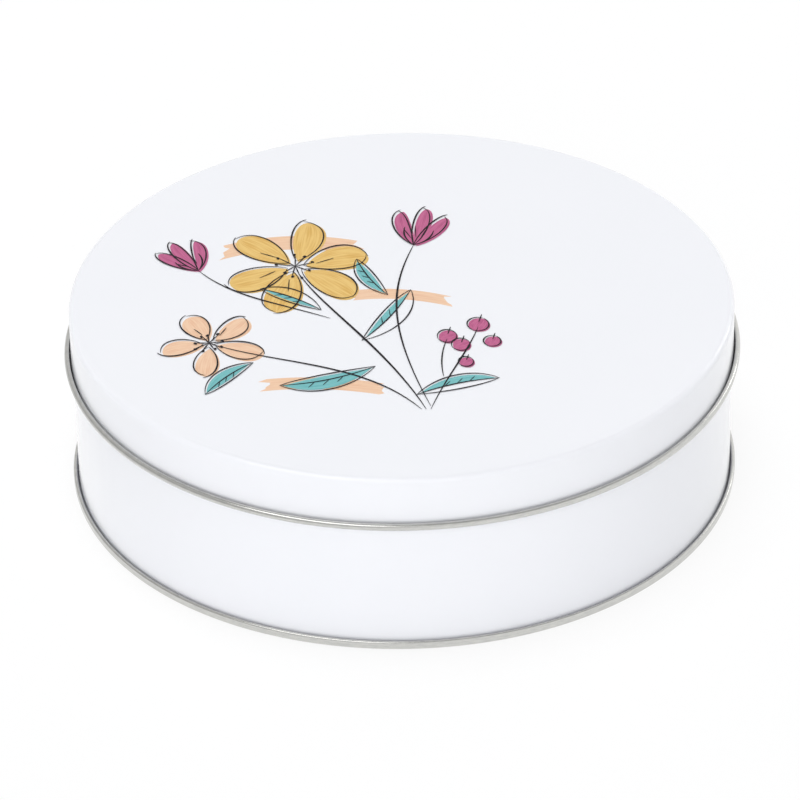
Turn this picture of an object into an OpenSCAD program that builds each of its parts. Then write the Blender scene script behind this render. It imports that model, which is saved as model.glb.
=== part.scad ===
// Round slip-lid tin for dusting powder, with a lift-out sifter and a powder puff.
// The axis of the tin is Z, and the tin stands on Z = 0. All sizes are in millimetres.

/* [Tin] */
// Outside diameter of the lid's skirt
lid_d = 150; // [110:1:220]
// Height of the closed tin
tin_h = 44; // [38:0.5:90]
// Thickness of the tinplate
plate_t = 0.25; // [0.2:0.01:0.3]
// Radial play between the lid's skirt and the wall
slip_gap = 0.2; // [0.1:0.05:0.4]

/* [Lid] */
// Height of the lid, from its top to the underside of its rolled edge
lid_h = 12.6; // [8:0.2:20]
// Outside radius of the edge between the lid's top and its skirt
lid_edge_r = 1.3; // [0.8:0.1:2.2]
// Diameter of the outward roll along the skirt's lower edge
lid_roll_d = 1.7; // [1.3:0.1:2.4]
// Open slot between the end of that roll and the skirt
lid_roll_gap = 0.4; // [0.1:0.05:0.5]
// Gap between the lid's underside and the sifter flange that it rests on
lid_seat_gap = 0.2; // [0.1:0.05:0.4]

/* [Wall] */
// Diameter of the inward roll along the wall's upper edge
rim_roll_d = 1.6; // [1.3:0.1:2.4]
// Open slot between the end of that roll and the wall
rim_roll_gap = 0.3; // [0.1:0.05:0.5]
// Width of the hooked side seam at the back of the wall
side_seam_w = 4; // [3:0.5:8]
// Gap between the plates of the side seam
side_seam_gap = 0.1; // [0.08:0.01:0.14]
// Length of plain lap between the side seam's hooks and the wall's two formed edges
side_seam_notch = 1.5; // [1:0.5:4]

/* [Base] */
// Height of the double seam that joins the base to the wall
seam_h = 2; // [1.8:0.1:3.5]
// Gap between the plates of the double seam
seam_gap = 0.15; // [0.08:0.01:0.18]
// Outside radius of the double seam's inner lower corner
foot_in_r = 0.5; // [0.4:0.05:0.6]
// Outside radius of the double seam's outer lower corner
foot_out_r = 0.6; // [0.4:0.05:0.7]
// Gap round the sealing compound in the double seam
seal_gap = 0.03; // [0.02:0.01:0.06]
// Height of the base panel's underside above the standing edge
base_recess = 2.6; // [2:0.1:6]
// Radius of the bend between the base panel and its countersunk side
base_bend_r = 1; // [0.6:0.1:2]
// Distance from the base's countersunk side to the stiffening bead's centre line
bead_inset = 12.15; // [6.5:0.05:30]
// Width of the stiffening bead
bead_w = 4.4; // [3:0.2:8]
// Height of the stiffening bead
bead_h = 0.9; // [0.5:0.1:1.5]

/* [Sifter] */
// Depth of the sifter ring, from its flange to its underside
tray_depth = 20; // [16:0.5:24]
// Wall thickness of the sifter ring
tray_t = 1.2; // [0.8:0.1:2]
// Thickness of the flange that hangs on the wall's rolled rim
flange_t = 0.8; // [0.6:0.1:1.4]
// Gap between the flange and the rim that carries it
flange_seat_gap = 0.05; // [0.02:0.01:0.1]
// Radial play between the sifter ring and the rim
tray_gap = 0.35; // [0.2:0.05:1]
// How much narrower the sifter ring is at its foot, per side
tray_draft = 0.7; // [0.2:0.1:2]
// Width of the inward ledge under the sifter plate
ledge_w = 3; // [2:0.25:6]
// Thickness of the ledge
ledge_t = 1.2; // [0.8:0.1:2]
// Radius of the bead that the sifter plate snaps under
snap_r = 0.5; // [0.3:0.05:0.8]
// Thickness of the sifter plate
sift_t = 1.2; // [0.8:0.1:2]
// Play round the sifter plate
sift_gap = 0.1; // [0.05:0.05:0.3]
// Diameter of the sifting holes
sift_hole_d = 2.4; // [1.5:0.1:4]
// Distance between the rings of sifting holes
sift_pitch = 10.5; // [7:0.5:16]
// Plain border between the outer holes and the ledge
sift_border = 3; // [2:0.5:10]

/* [Puff] */
// Finger room between the puff and the sifter ring
puff_side_gap = 10; // [6:1:20]
// Room between the top of the puff and the lid
puff_headroom = 2.5; // [1.5:0.25:5]
// Gap between the puff and the sifter plate, and under its ribbon
puff_seat_gap = 0.3; // [0.1:0.05:0.5]
// Rise of the puff's crown
puff_crown = 2.4; // [1:0.2:4]
// Thickness of the satin back
puff_back_t = 1; // [0.6:0.1:2]
// Gap between the satin back and the pad
puff_back_gap = 0.1; // [0.05:0.05:0.3]
// Width of the ribbon handle
ribbon_w = 24; // [12:1:40]
// Thickness of the ribbon handle
ribbon_t = 0.8; // [0.4:0.1:1.5]

/* [Hidden] */
$fn = 96;
crown_fn = 256;

// Lid: the skirt's radius, the centre of its lower roll, and the angle where the roll ends by the skirt
lid_r = lid_d / 2;
lid_roll_r = lid_roll_d / 2;
lid_roll_x = lid_r - plate_t + lid_roll_r;
lid_roll_z = tin_h - lid_h + lid_roll_r;
lid_roll_end = acos(-(lid_roll_r - plate_t - lid_roll_gap) / lid_roll_r);
lid_under_z = tin_h - plate_t;

// Sifter flange: it hangs between the lid's underside and the wall's rim
flange_top_z = lid_under_z - lid_seat_gap;
flange_low_z = flange_top_z - flange_t;
flange_r = lid_r - plate_t - lid_seat_gap;
flange_edge_r = lid_edge_r - plate_t - lid_seat_gap;

// Wall: its two faces, the centre of its upper roll, and the angle where the roll ends by the wall
wall_r = lid_r - plate_t - slip_gap;
wall_in_r = wall_r - plate_t;
rim_z = flange_low_z - flange_seat_gap;
rim_roll_r = rim_roll_d / 2;
rim_roll_x = wall_r - rim_roll_r;
rim_roll_z = rim_z - rim_roll_r;
rim_roll_end = 360 - acos((rim_roll_r - plate_t - rim_roll_gap) / rim_roll_r);
rim_in_r = wall_r - rim_roll_d;

// Double seam: both hooks turn on the same radius, one at the top and one at the bottom
hook_r = 1.5 * plate_t + seam_gap;
seam_r = wall_r + 3 * (plate_t + seam_gap);
cover_hook_z = seam_h - hook_r;
body_hook_z = plate_t + seam_gap + hook_r;
seal_r = hook_r - plate_t - 2 * seal_gap;

// Base: the two faces of its countersunk side, the panel's upper face and the bead's arc
chuck_r = wall_in_r - seam_gap;
chuck_in_r = chuck_r - plate_t;
panel_top_z = base_recess + plate_t;
bead_c = chuck_r - bead_inset;
bead_arc_r = (pow(bead_w / 2, 2) + pow(bead_h, 2)) / (2 * bead_h);
bead_arc_a = asin(1 - bead_h / bead_arc_r);

// Side seam: where its hooks start and end, and the turn that a length along the wall makes
side_low_z = seam_h + side_seam_notch;
side_top_z = rim_roll_z - rim_roll_r - side_seam_notch;
side_pitch = plate_t + side_seam_gap;
function turn(length) = length / wall_r * 180 / PI;

// Sifter: the ring's outer radius under its flange, its foot, and its inner radius at a height
tray_r = rim_in_r - tray_gap;
tray_low_z = flange_top_z - tray_depth;
function tray_in_r(z) = tray_r - tray_t - tray_draft * (flange_low_z - z) / (flange_low_z - tray_low_z);
ledge_top_z = tray_low_z + ledge_t;
ledge_in_r = tray_in_r(tray_low_z) - ledge_w;
sift_low_z = ledge_top_z + sift_gap / 2;
sift_top_z = sift_low_z + sift_t;
sift_r = tray_in_r(ledge_top_z) - sift_gap;
sift_rings = floor((ledge_in_r - sift_border - sift_hole_d / 2) / sift_pitch);

// Puff: it lies on the sifter plate, and its crown is part of a sphere
puff_r = tray_in_r(sift_top_z) - snap_r - puff_side_gap;
puff_low_z = sift_top_z + puff_seat_gap;
ribbon_top_z = lid_under_z - puff_headroom;
back_top_z = ribbon_top_z - ribbon_t - puff_seat_gap;
pad_top_z = back_top_z - puff_back_t - puff_back_gap;
puff_edge_r = (pad_top_z - puff_crown - puff_low_z) / 2;
crown_r = (pow(puff_r - puff_edge_r, 2) + pow(puff_crown, 2)) / (2 * puff_crown);
crown_z = pad_top_z - crown_r;

// Flat sector from angle a0 to angle a1, wide enough to cover a circle of radius r
module wedge(r, a0, a1) {
    steps = ceil((a1 - a0) / 30);
    rim = [for (i = [0 : steps]) let (a = a0 + (a1 - a0) * i / steps) 2 * r * [cos(a), sin(a)]];
    polygon(concat([[0, 0]], rim));
}

// Section of plate bent to an arc of outside radius r, from angle a0 to angle a1
module bend(r, a0, a1) {
    intersection() {
        difference() {
            circle(r);
            circle(r - plate_t);
        }
        wedge(r, a0, a1);
    }
}

// Section of upright plate with its inner face at radius r, from height z0 to height z1
module upright(r, z0, z1) {
    translate([r, z0])
        square([plate_t, z1 - z0]);
}

// Section of flat plate with its underside at height z, from radius r0 to radius r1
module flat(z, r0, r1) {
    translate([r0, z])
        square([r1 - r0, plate_t]);
}

// Drawn lid: flat top, rounded edge, straight skirt and an outward roll
module lid() {
    color("white")
        rotate_extrude() {
            flat(lid_under_z, 0, lid_r - lid_edge_r);
            translate([lid_r - lid_edge_r, tin_h - lid_edge_r])
                bend(lid_edge_r, 0, 90);
            upright(lid_r - plate_t, lid_roll_z, tin_h - lid_edge_r);
            translate([lid_roll_x, lid_roll_z])
                bend(lid_roll_r, 180, 360 + lid_roll_end);
        }
}

// Plan of one curved plate of the side seam: layer 0 is the wall's own, and the others lie inside it
module seam_layer(layer, a0, a1) {
    r = wall_r - layer * side_pitch;
    rotate(90)
        bend(r, a0, a1);
}

// Plan of a radial fold that joins layer 'from' to layer 'to' of the side seam, starting at angle a
module seam_fold(from, to, a) {
    r0 = wall_r - to * side_pitch - plate_t;
    r1 = wall_r - from * side_pitch;
    rotate(90)
        intersection() {
            difference() {
                circle(r1);
                circle(r0);
            }
            wedge(r1, a, a + turn(plate_t));
        }
}

// Plan of the wall with its two ends hooked into each other at the back
module side_seam_plan() {
    half = turn(side_seam_w / 2);
    fold = turn(plate_t);
    gap = turn(2 * side_seam_gap);
    seam_layer(0, half + gap, 360 + half);
    seam_fold(0, 2, half - fold);
    seam_layer(2, gap + fold - half, half);
    seam_fold(0, 3, half + gap);
    seam_layer(3, -half, half + gap + fold);
    seam_fold(1, 3, -half);
    seam_layer(1, -half, half - fold - gap);
}

// Rolled wall: hook of the double seam, side seam at the back, inward roll at the rim
module body_wall() {
    color("whitesmoke") {
        rotate_extrude() {
            translate([wall_in_r + hook_r, body_hook_z])
                bend(hook_r, 180, 360);
            upright(wall_in_r + 2 * hook_r - plate_t, body_hook_z, cover_hook_z);
            upright(wall_in_r, body_hook_z, side_low_z);
        }
        translate([0, 0, side_low_z])
            linear_extrude(side_top_z - side_low_z)
                side_seam_plan();
        rotate_extrude() {
            upright(wall_in_r, side_top_z, rim_roll_z);
            translate([rim_roll_x, rim_roll_z])
                bend(rim_roll_r, 0, rim_roll_end);
        }
    }
}

// Section of the base's panel, with the stiffening bead pressed up into it
module panel_section() {
    bead_in = (bead_arc_r - plate_t) * cos(bead_arc_a);
    flat(base_recess, 0, bead_c - bead_in);
    translate([bead_c, panel_top_z - bead_arc_r * sin(bead_arc_a)])
        bend(bead_arc_r, bead_arc_a, 180 - bead_arc_a);
    flat(base_recess, bead_c + bead_in, chuck_r - base_bend_r);
}

// Countersunk base whose edge wraps the wall's hook: standing edge, outer band and cover hook
module base_plate() {
    color("silver")
        rotate_extrude() {
            panel_section();
            translate([chuck_r - base_bend_r, panel_top_z - base_bend_r])
                bend(base_bend_r, 0, 90);
            upright(chuck_in_r, foot_in_r, panel_top_z - base_bend_r);
            translate([chuck_in_r + foot_in_r, foot_in_r])
                bend(foot_in_r, 180, 270);
            flat(0, chuck_in_r + foot_in_r, seam_r - foot_out_r);
            translate([seam_r - foot_out_r, foot_out_r])
                bend(foot_out_r, 270, 360);
            upright(seam_r - plate_t, foot_out_r, cover_hook_z);
            translate([seam_r - hook_r, cover_hook_z])
                bend(hook_r, 0, 180);
            upright(seam_r - 2 * hook_r, body_hook_z, cover_hook_z);
        }
}

// Bead of sealing compound in the head of the double seam, over the tip of the wall's hook
module seam_seal() {
    color("dimgray")
        rotate_extrude()
            translate([seam_r - hook_r, cover_hook_z + seal_gap])
                polygon([
                    [-seal_r, 0],
                    [seal_r, 0],
                    [seal_r / 2, 0.8 * seal_r],
                    [-seal_r / 2, 0.8 * seal_r]
                ]);
}

// Section of the space that the sifter flange may fill under the lid's rounded edge
module flange_limit() {
    edge_z = tin_h - lid_edge_r;
    square([lid_r - lid_edge_r, flange_top_z]);
    square([flange_r, edge_z]);
    translate([lid_r - lid_edge_r, edge_z])
        circle(flange_edge_r);
}

// Moulded ring that hangs on the wall's rim and carries the sifter plate on its ledge
module sifter_ring() {
    snap_z = sift_top_z + sift_gap / 2 + snap_r;
    color("ivory")
        rotate_extrude() {
            intersection() {
                flange_limit();
                translate([tray_r - tray_t, flange_low_z])
                    square([lid_r, flange_t]);
            }
            polygon([
                [tray_r - tray_draft, tray_low_z],
                [tray_r, flange_low_z],
                [tray_r, flange_top_z],
                [tray_r - tray_t, flange_top_z],
                [tray_r - tray_t, flange_low_z],
                [tray_in_r(tray_low_z), tray_low_z]
            ]);
            translate([ledge_in_r, tray_low_z])
                square([ledge_w + tray_t / 2, ledge_t]);
            translate([tray_in_r(snap_z), snap_z])
                circle(snap_r);
        }
}

// Perforated plate that snaps into the sifter ring
module sifter_plate() {
    color("ghostwhite")
        translate([0, 0, sift_low_z])
            linear_extrude(sift_t)
                difference() {
                    circle(sift_r);
                    circle(sift_hole_d / 2);
                    for (ring = [1 : sift_rings], i = [1 : 6 * ring])
                        rotate(60 * i / ring)
                            translate([ring * sift_pitch, 0])
                                circle(sift_hole_d / 2);
                }
}

// Section of the puff's crown, between two heights above the pad's own
module crown_section(rise, thickness) {
    intersection() {
        translate([0, crown_z])
            difference() {
                circle(crown_r + rise + thickness, $fn = crown_fn);
                circle(crown_r + rise, $fn = crown_fn);
            }
        translate([0, puff_low_z])
            square([puff_r - puff_edge_r, crown_r]);
    }
}

// Round pad of the puff: flat face on the sifter, rounded side, crowned top
module puff_pad() {
    color("snow")
        rotate_extrude() {
            intersection() {
                translate([0, crown_z])
                    circle(crown_r, $fn = crown_fn);
                translate([0, puff_low_z])
                    square([puff_r - puff_edge_r, pad_top_z - puff_low_z]);
            }
            intersection() {
                translate([puff_r - puff_edge_r, puff_low_z + puff_edge_r])
                    circle(puff_edge_r);
                translate([0, puff_low_z])
                    square([puff_r, 2 * puff_edge_r]);
            }
        }
}

// Satin back sewn over the puff's crown
module puff_back() {
    color("mistyrose")
        rotate_extrude()
            crown_section(puff_back_gap, puff_back_t);
}

// Ribbon handle across the puff's back
module puff_ribbon() {
    rise = puff_back_gap + puff_back_t + puff_seat_gap;
    color("palevioletred")
        rotate([90, 0, 0])
            translate([0, 0, -ribbon_w / 2])
                linear_extrude(ribbon_w) {
                    crown_section(rise, ribbon_t);
                    mirror([1, 0])
                        crown_section(rise, ribbon_t);
                }
}

lid();
body_wall();
base_plate();
seam_seal();
sifter_ring();
sifter_plate();
puff_pad();
puff_back();
puff_ribbon();
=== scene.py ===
# %% [markdown]
# # A round slip-lid tin for dusting powder
# The tin is three pieces of thin steel plate: a pressed lid, a rolled wall and a pressed base. Inside
# hangs a plastic sifter, and a velour puff lies on it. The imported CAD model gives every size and
# place, and this lesson dresses it: it draws each piece again with smooth bends, gives it a finish,
# and lights it on a white table.

import math
import random

import bpy
from mathutils import Matrix, Vector


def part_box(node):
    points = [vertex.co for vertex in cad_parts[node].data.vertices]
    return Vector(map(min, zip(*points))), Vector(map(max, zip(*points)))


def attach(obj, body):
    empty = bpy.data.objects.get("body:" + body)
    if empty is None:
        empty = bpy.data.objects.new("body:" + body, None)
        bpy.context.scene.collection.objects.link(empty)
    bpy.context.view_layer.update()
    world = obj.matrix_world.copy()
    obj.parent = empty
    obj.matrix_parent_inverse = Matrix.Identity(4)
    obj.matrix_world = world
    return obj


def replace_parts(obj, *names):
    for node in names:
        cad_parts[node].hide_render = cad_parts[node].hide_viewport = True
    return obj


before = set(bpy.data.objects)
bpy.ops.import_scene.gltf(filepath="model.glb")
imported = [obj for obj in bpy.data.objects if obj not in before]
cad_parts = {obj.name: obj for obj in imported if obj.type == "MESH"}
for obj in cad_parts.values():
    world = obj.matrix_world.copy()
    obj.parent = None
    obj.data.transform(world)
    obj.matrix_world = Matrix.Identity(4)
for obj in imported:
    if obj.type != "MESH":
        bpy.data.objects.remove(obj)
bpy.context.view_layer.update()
MM = 0.001

# %% [markdown]
# ## Choosing and editing
# Blender's operators act on what is chosen. Four small helpers choose one or more pieces, name the
# piece that was just added, and enter and leave edit mode with everything selected.

# %% Helpers for choosing and editing


def choose(obj, *more):
    bpy.ops.object.select_all(action="DESELECT")
    for piece in (obj, *more):
        piece.select_set(True)
    bpy.context.view_layer.objects.active = obj
    return obj


def named(name):
    obj = bpy.context.object
    obj.name = obj.data.name = name
    return obj


def edit(obj):
    choose(obj)
    bpy.ops.object.mode_set(mode="EDIT")
    bpy.ops.mesh.select_all(action="SELECT")


def leave_edit():
    bpy.ops.object.mode_set(mode="OBJECT")


print("helpers", [helper.__name__ for helper in (choose, named, edit, leave_edit)])

# %% [markdown]
# ## Drawing sheet metal
# Plate keeps its thickness when it is bent, so a tin is easiest to draw as the middle line of its
# plate. The line is made by extruding one vertex from point to point. Spin turns it round the axis,
# as a lathe would, and a Solidify modifier then gives the plate half its thickness to each side. The
# reverse side can have its own material, which is what printed tinplate needs: lacquer on one side,
# bare metal on the other.

# %% Helpers for lines and turned shapes
PLATE = 0.25 * MM
TURN_STEPS = 256


def arc(x, z, radius, start, end, steps):
    angles = [math.radians(start + (end - start) * i / steps) for i in range(steps + 1)]
    return [(x + radius * math.cos(a), z + radius * math.sin(a)) for a in angles]


def section(points):
    return [Vector((x, 0, z)) for x, z in points]


def draw_line(name, points):
    bpy.ops.mesh.primitive_plane_add(size=MM)
    line = named(name)
    bpy.ops.object.mode_set(mode="EDIT")
    bpy.ops.mesh.merge(type="CENTER")
    bpy.ops.transform.translate(value=points[0])
    for here, there in zip(points, points[1:]):
        bpy.ops.mesh.extrude_region_move(TRANSFORM_OT_translate={"value": there - here})
    leave_edit()
    return line


def turn(line, steps=TURN_STEPS):
    edit(line)
    bpy.ops.mesh.spin(steps=steps, angle=2 * math.pi, center=(0, 0, 0), axis=(0, 0, 1))
    leave_edit()
    return line


print("plate of", PLATE / MM, "mm, turned in", TURN_STEPS, "steps")

# %% [markdown]
# ## Closing a mesh and giving it thickness
# A spun mesh has its first and last lines on top of each other and many points at the pole, so
# doubles are merged first. Then the faces are turned to one side, and turned round once more if a
# face at a known place looks the wrong way. Only after that does the plate get its thickness.

# %% Helpers for clean meshes
WELD = 0.001 * MM
SMOOTH_ANGLE = math.radians(35)


def weld(obj):
    edit(obj)
    bpy.ops.mesh.remove_doubles(threshold=WELD)
    bpy.ops.mesh.normals_make_consistent(inside=False)
    leave_edit()
    return obj


def face_towards(obj, place, direction):
    nearest = min(obj.data.polygons, key=lambda face: (face.center - Vector(place)).length)
    if nearest.normal.dot(Vector(direction)) < 0:
        edit(obj)
        bpy.ops.mesh.flip_normals()
        leave_edit()
    return obj


def apply_all(obj):
    choose(obj)
    for modifier in list(obj.modifiers):
        bpy.ops.object.modifier_apply(modifier=modifier.name)
    return obj


def thicken(obj, thickness=PLATE, offset=0.0):
    solid = obj.modifiers.new("thickness", "SOLIDIFY")
    solid.thickness = thickness
    solid.offset = offset
    solid.use_even_offset = True
    solid.material_offset = solid.material_offset_rim = 1
    return apply_all(obj)


def smooth(obj, angle=SMOOTH_ANGLE):
    choose(obj)
    bpy.ops.object.shade_smooth_by_angle(angle=angle)
    return obj


def report(obj):
    columns = list(zip(*(vertex.co for vertex in obj.data.vertices)))
    size = [round((max(column) - min(column)) / MM, 2) for column in columns]
    print(obj.name, "size", size, "low z", round(min(columns[2]) / MM, 2), "faces", len(obj.data.polygons))


print("points closer than", WELD / MM, "mm are merged")

# %% [markdown]
# ## Node helpers
# Every finish is a Principled shader with a few textures in front of it, and all of them are nodes
# that are joined by links. These helpers make a finish, add a node with its numbers set, join two
# sockets, do sums, and dress a piece in its finishes.

# %% Helpers for finishes


def set_sockets(node, sockets):
    for socket, value in sockets.items():
        node.inputs[socket.replace("_", " ")].default_value = value
    return node


def shader_of(material):
    return material.node_tree.nodes["Principled BSDF"]


def finish(name, **sockets):
    material = bpy.data.materials.new(name)
    material.use_nodes = True
    set_sockets(shader_of(material), sockets)
    return material


def add(material, kind, **sockets):
    return set_sockets(material.node_tree.nodes.new("ShaderNode" + kind), sockets)


def join(material, source, target):
    material.node_tree.links.new(source, target)


def combine(material, operation, *values):
    node = add(material, "Math")
    node.operation = operation
    for value, socket in zip(values, node.inputs):
        if isinstance(value, float):
            socket.default_value = value
        else:
            join(material, value, socket)
    return node.outputs["Value"]


def dress(obj, *materials):
    obj.data.materials.clear()
    for material in materials:
        obj.data.materials.append(material)


print("helpers", [helper.__name__ for helper in (finish, add, join, combine, dress)])

# %% [markdown]
# ## Drift and relief
# The textures read Object coordinates. All pieces sit at the origin, so those coordinates are metres
# in the tin's own frame, and a pattern keeps its true scale on every piece. Noise makes a finish
# drift: tint spreads it over two colours, gloss over a range of roughness, and relief turns it into
# bumps.

# %% Helpers for drift and relief


def noise(material, scale, stretch=(1, 1, 1), detail=3.0, source="Object"):
    place = add(material, "TexCoord")
    mapping = add(material, "Mapping", Scale=stretch)
    texture = add(material, "TexNoise", Scale=scale, Detail=detail)
    join(material, place.outputs[source], mapping.inputs["Vector"])
    join(material, mapping.outputs["Vector"], texture.inputs["Vector"])
    return texture.outputs["Fac"]


def spread(material, value, low, high, start=0.3, end=0.7):
    ramp = add(material, "MapRange", From_Min=start, From_Max=end, To_Min=low, To_Max=high)
    join(material, value, ramp.inputs["Value"])
    return ramp.outputs["Result"]


def two_tone(material, value, dark, light, start=0.3, end=0.7):
    ramp = add(material, "ValToRGB")
    for stop, place, colour in zip(ramp.color_ramp.elements, (start, end), (dark, light)):
        stop.position = place
        stop.color = (*colour, 1)
    join(material, value, ramp.inputs["Fac"])
    return ramp.outputs["Color"]


def tint(material, value, dark, light, start=0.3, end=0.7):
    tone = two_tone(material, value, dark, light, start, end)
    join(material, tone, shader_of(material).inputs["Base Color"])


def gloss(material, value, low, high):
    join(material, spread(material, value, low, high), shader_of(material).inputs["Roughness"])


def relief(material, value, strength, depth, below=None):
    bump = add(material, "Bump", Strength=strength, Distance=depth)
    join(material, value, bump.inputs["Height"])
    if below is not None:
        join(material, below.outputs["Normal"], bump.inputs["Normal"])
    join(material, bump.outputs["Normal"], shader_of(material).inputs["Normal"])
    return bump


print("helpers", [helper.__name__ for helper in (noise, spread, two_tone, tint, gloss, relief)])

# %% [markdown]
# ## White lacquer
# The outside of the plate is coated before it is pressed: a cool white stoving enamel under a clear
# varnish. Seen close it isn't quite even. The film pulls into a very shallow orange peel as it bakes,
# and the white and the gloss drift a little from place to place. A coat layer on the shader gives the
# varnish its own sharper shine.

# %% White lacquer
lacquer = finish("white_lacquer", Coat_Weight=0.9, Coat_Roughness=0.1)
tint(lacquer, noise(lacquer, 28), (0.87, 0.877, 0.913), (0.88, 0.885, 0.921))
gloss(lacquer, noise(lacquer, 60), 0.28, 0.33)
relief(lacquer, noise(lacquer, 500, detail=1.0), 0.02, 0.01 * MM)
print("finish", lacquer.name)

# %% [markdown]
# ## Bare tinplate
# The other side of the plate, and so every roll and seam that is turned out of it, is steel with a
# thin coat of tin. It is grey and mirror-like, but the steel was ground and rolled, so it carries
# fine scratches along the strip. The scratches are a noise that is squeezed in height and stretched
# in plan. Where two plates meet, the slot between them lies in shade, and that shade is painted: a
# value kept on the mesh darkens the metal there. The colours run from a bluish dark, which is also
# the painted shade's colour, to a faintly warm grey, as tin looks in a white room.

# %% Bare tinplate
SLOT_SHADE_LIGHT_LEFT = 0.1
# The dark end is also the colour of the painted shade in the slots, hence its blue.
TIN_DARK_AND_SLOT_SHADE = (0, 0.008, 0.08)
TIN_BRIGHT = (1.0, 0.994, 0.912)
tinplate = finish("bare_tinplate", Metallic=1.0)
scratches = noise(tinplate, 1400, (0.35, 0.35, 2.2), detail=4.0)
metal_tone = spread(tinplate, scratches, 0.56, 0.66)
# Painted shade: this value, kept on the mesh, darkens the metal in the slots between plates.
painted_slot_shade = add(tinplate, "Attribute")
painted_slot_shade.attribute_name = "painted_slot_shade"
slot_light = spread(tinplate, painted_slot_shade.outputs["Fac"], 1.0, SLOT_SHADE_LIGHT_LEFT, 0.0, 1.0)
shade = combine(tinplate, "MULTIPLY", metal_tone, slot_light)
tint(tinplate, shade, TIN_DARK_AND_SLOT_SHADE, TIN_BRIGHT, 0.0, 1.0)
gloss(tinplate, noise(tinplate, 300), 0.14, 0.22)
relief(tinplate, scratches, 0.12, 0.015 * MM)
print("finish", tinplate.name)

# %% [markdown]
# ## The lid
# The lid is pressed from one disc: flat top, tight rounded edge, straight skirt, and a roll along the
# skirt's lower edge that stiffens it and hides the raw cut. The roll turns outwards, so it shows the
# bare side of the plate. It stops just short of the skirt, and the slot that is left there reads as a
# fine dark line. Half of the section is drawn, from the middle of the top to the end of the roll.
# Every radius is that of the plate's middle, so half a plate comes off the outside radius.

# %% The lid's section
HALF = PLATE / 2
lid_low, lid_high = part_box("lid")
LID_EDGE_R = 1.3 * MM
LID_ROLL_R = 0.85 * MM
LID_ROLL_SLOT = 0.4 * MM
skirt_r = lid_high.x - 2 * LID_ROLL_R + PLATE
lid_top = lid_high.z
roll_end = 360 + math.degrees(math.acos(-(LID_ROLL_R - PLATE - LID_ROLL_SLOT) / LID_ROLL_R))
lid_line = [(skirt_r * share, lid_top - HALF) for share in (0, 0.3, 0.6, 0.8, 0.92, 0.97)]
lid_line += arc(skirt_r - LID_EDGE_R, lid_top - LID_EDGE_R, LID_EDGE_R - HALF, 90, 0, 10)
lid_line += [(skirt_r - HALF, lid_top - share * (lid_top - lid_low.z)) for share in (0.2, 0.5, 0.8)]
roll_x = skirt_r - PLATE + LID_ROLL_R
lid_line += arc(roll_x, lid_low.z + LID_ROLL_R, LID_ROLL_R - HALF, 180, roll_end, 36)
print("lid section of", len(lid_line), "points, roll closed to", round(roll_end), "degrees")

# %% [markdown]
# ## The lid in one piece
# The line is turned, welded and thickened. Lacquer is the first material, and Solidify gives the
# second, bare tinplate, to the reverse. Below the middle of the roll all faces are bare. A helper
# writes painted shade into the metal, most in the slot and less outwards.

# %% The lid in one piece
LID_SLOT_SHADE = 0.2


# Writes painted shade: a darkening value on the points near a slot, fading outwards.
def paint_slot_shade(obj, amount, clear_of, inner, outer, low, high):
    slot_shade_marks = obj.data.attributes.new("painted_slot_shade", "FLOAT", "POINT")
    for vertex, mark in zip(obj.data.vertices, slot_shade_marks.data):
        outside = vertex.co.xy.length
        if outside > clear_of and low < vertex.co.z < high:
            mark.value = amount * min(max((outer - outside) / (outer - inner), 0), 1)


lid = weld(turn(draw_line("tin_lid", section(lid_line))))
dress(lid, lacquer, tinplate)
face_towards(lid, (0.5 * skirt_r, 0, lid_top), (0, 0, 1))
smooth(thicken(lid))
for face in lid.data.polygons:
    if face.center.z < lid_low.z + LID_ROLL_R:
        face.material_index = 1
slot_end = skirt_r + LID_ROLL_SLOT
roll_top = lid_low.z + 2 * LID_ROLL_R
# Painted shade in the slot between the skirt and the roll.
paint_slot_shade(lid, LID_SLOT_SHADE, skirt_r - WELD, slot_end, roll_x + PLATE, lid_low.z, roll_top)
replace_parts(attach(lid, "lid"), "lid")
report(lid)

# %% [markdown]
# ## Printing inks
# The lid's picture is printed on the lacquered sheet before it is pressed. The inks dry matt, so they
# shine less than the lacquer round them. Each wash is streaked the way a broad felt pen is: the
# streaks run along the stroke, so they come from noise on the stroke's own UV map, squeezed across
# it.

# %% Printing inks


def printing_ink(name, pale, deep):
    material = finish(name, Specular_IOR_Level=0.12)
    tint(material, noise(material, 2.2, (1, 7, 1), source="UV"), deep, pale, 0.36, 0.56)
    gloss(material, noise(material, 600), 0.48, 0.62)
    return material


inks = {
    "peach": printing_ink("peach_ink", (0.86, 0.6, 0.42), (0.8, 0.5, 0.33)),
    "ochre": printing_ink("ochre_ink", (0.8, 0.55, 0.2), (0.69, 0.42, 0.12)),
    "magenta": printing_ink("magenta_ink", (0.55, 0.15, 0.29), (0.43, 0.1, 0.22)),
    "teal": printing_ink("teal_ink", (0.22, 0.53, 0.54), (0.14, 0.42, 0.44)),
    "black": printing_ink("line_ink", (0.024, 0.02, 0.024), (0.012, 0.01, 0.012)),
}
print("inks", sorted(inks))

# %% [markdown]
# ## Films of ink
# The print is a loose spray of garden flowers: flat washes of colour, and quick pen lines that don't
# quite follow them. A shader could hold a simple ornament, but not this, so every stroke is a thin
# film of ink on the lid. It starts as a grid, and every point of the grid is then moved to its spot.
# Each film lies a hair above the one before it, in the order in which the colours are printed.

# %% Films of ink
PRINT_PLACE = Vector((-16, -4)) * MM
PRINT_DEPTH = 1.2
INK_STEP = 0.03 * MM
MOST_STROKES = 90
INK_ORDER = ("peach", "ochre", "teal", "magenta", "black")
strokes = {colour: [] for colour in INK_ORDER}


def on_curve(points, share):
    while len(points) > 1:
        points = [here.lerp(there, share) for here, there in zip(points, points[1:])]
    return points[0]


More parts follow.
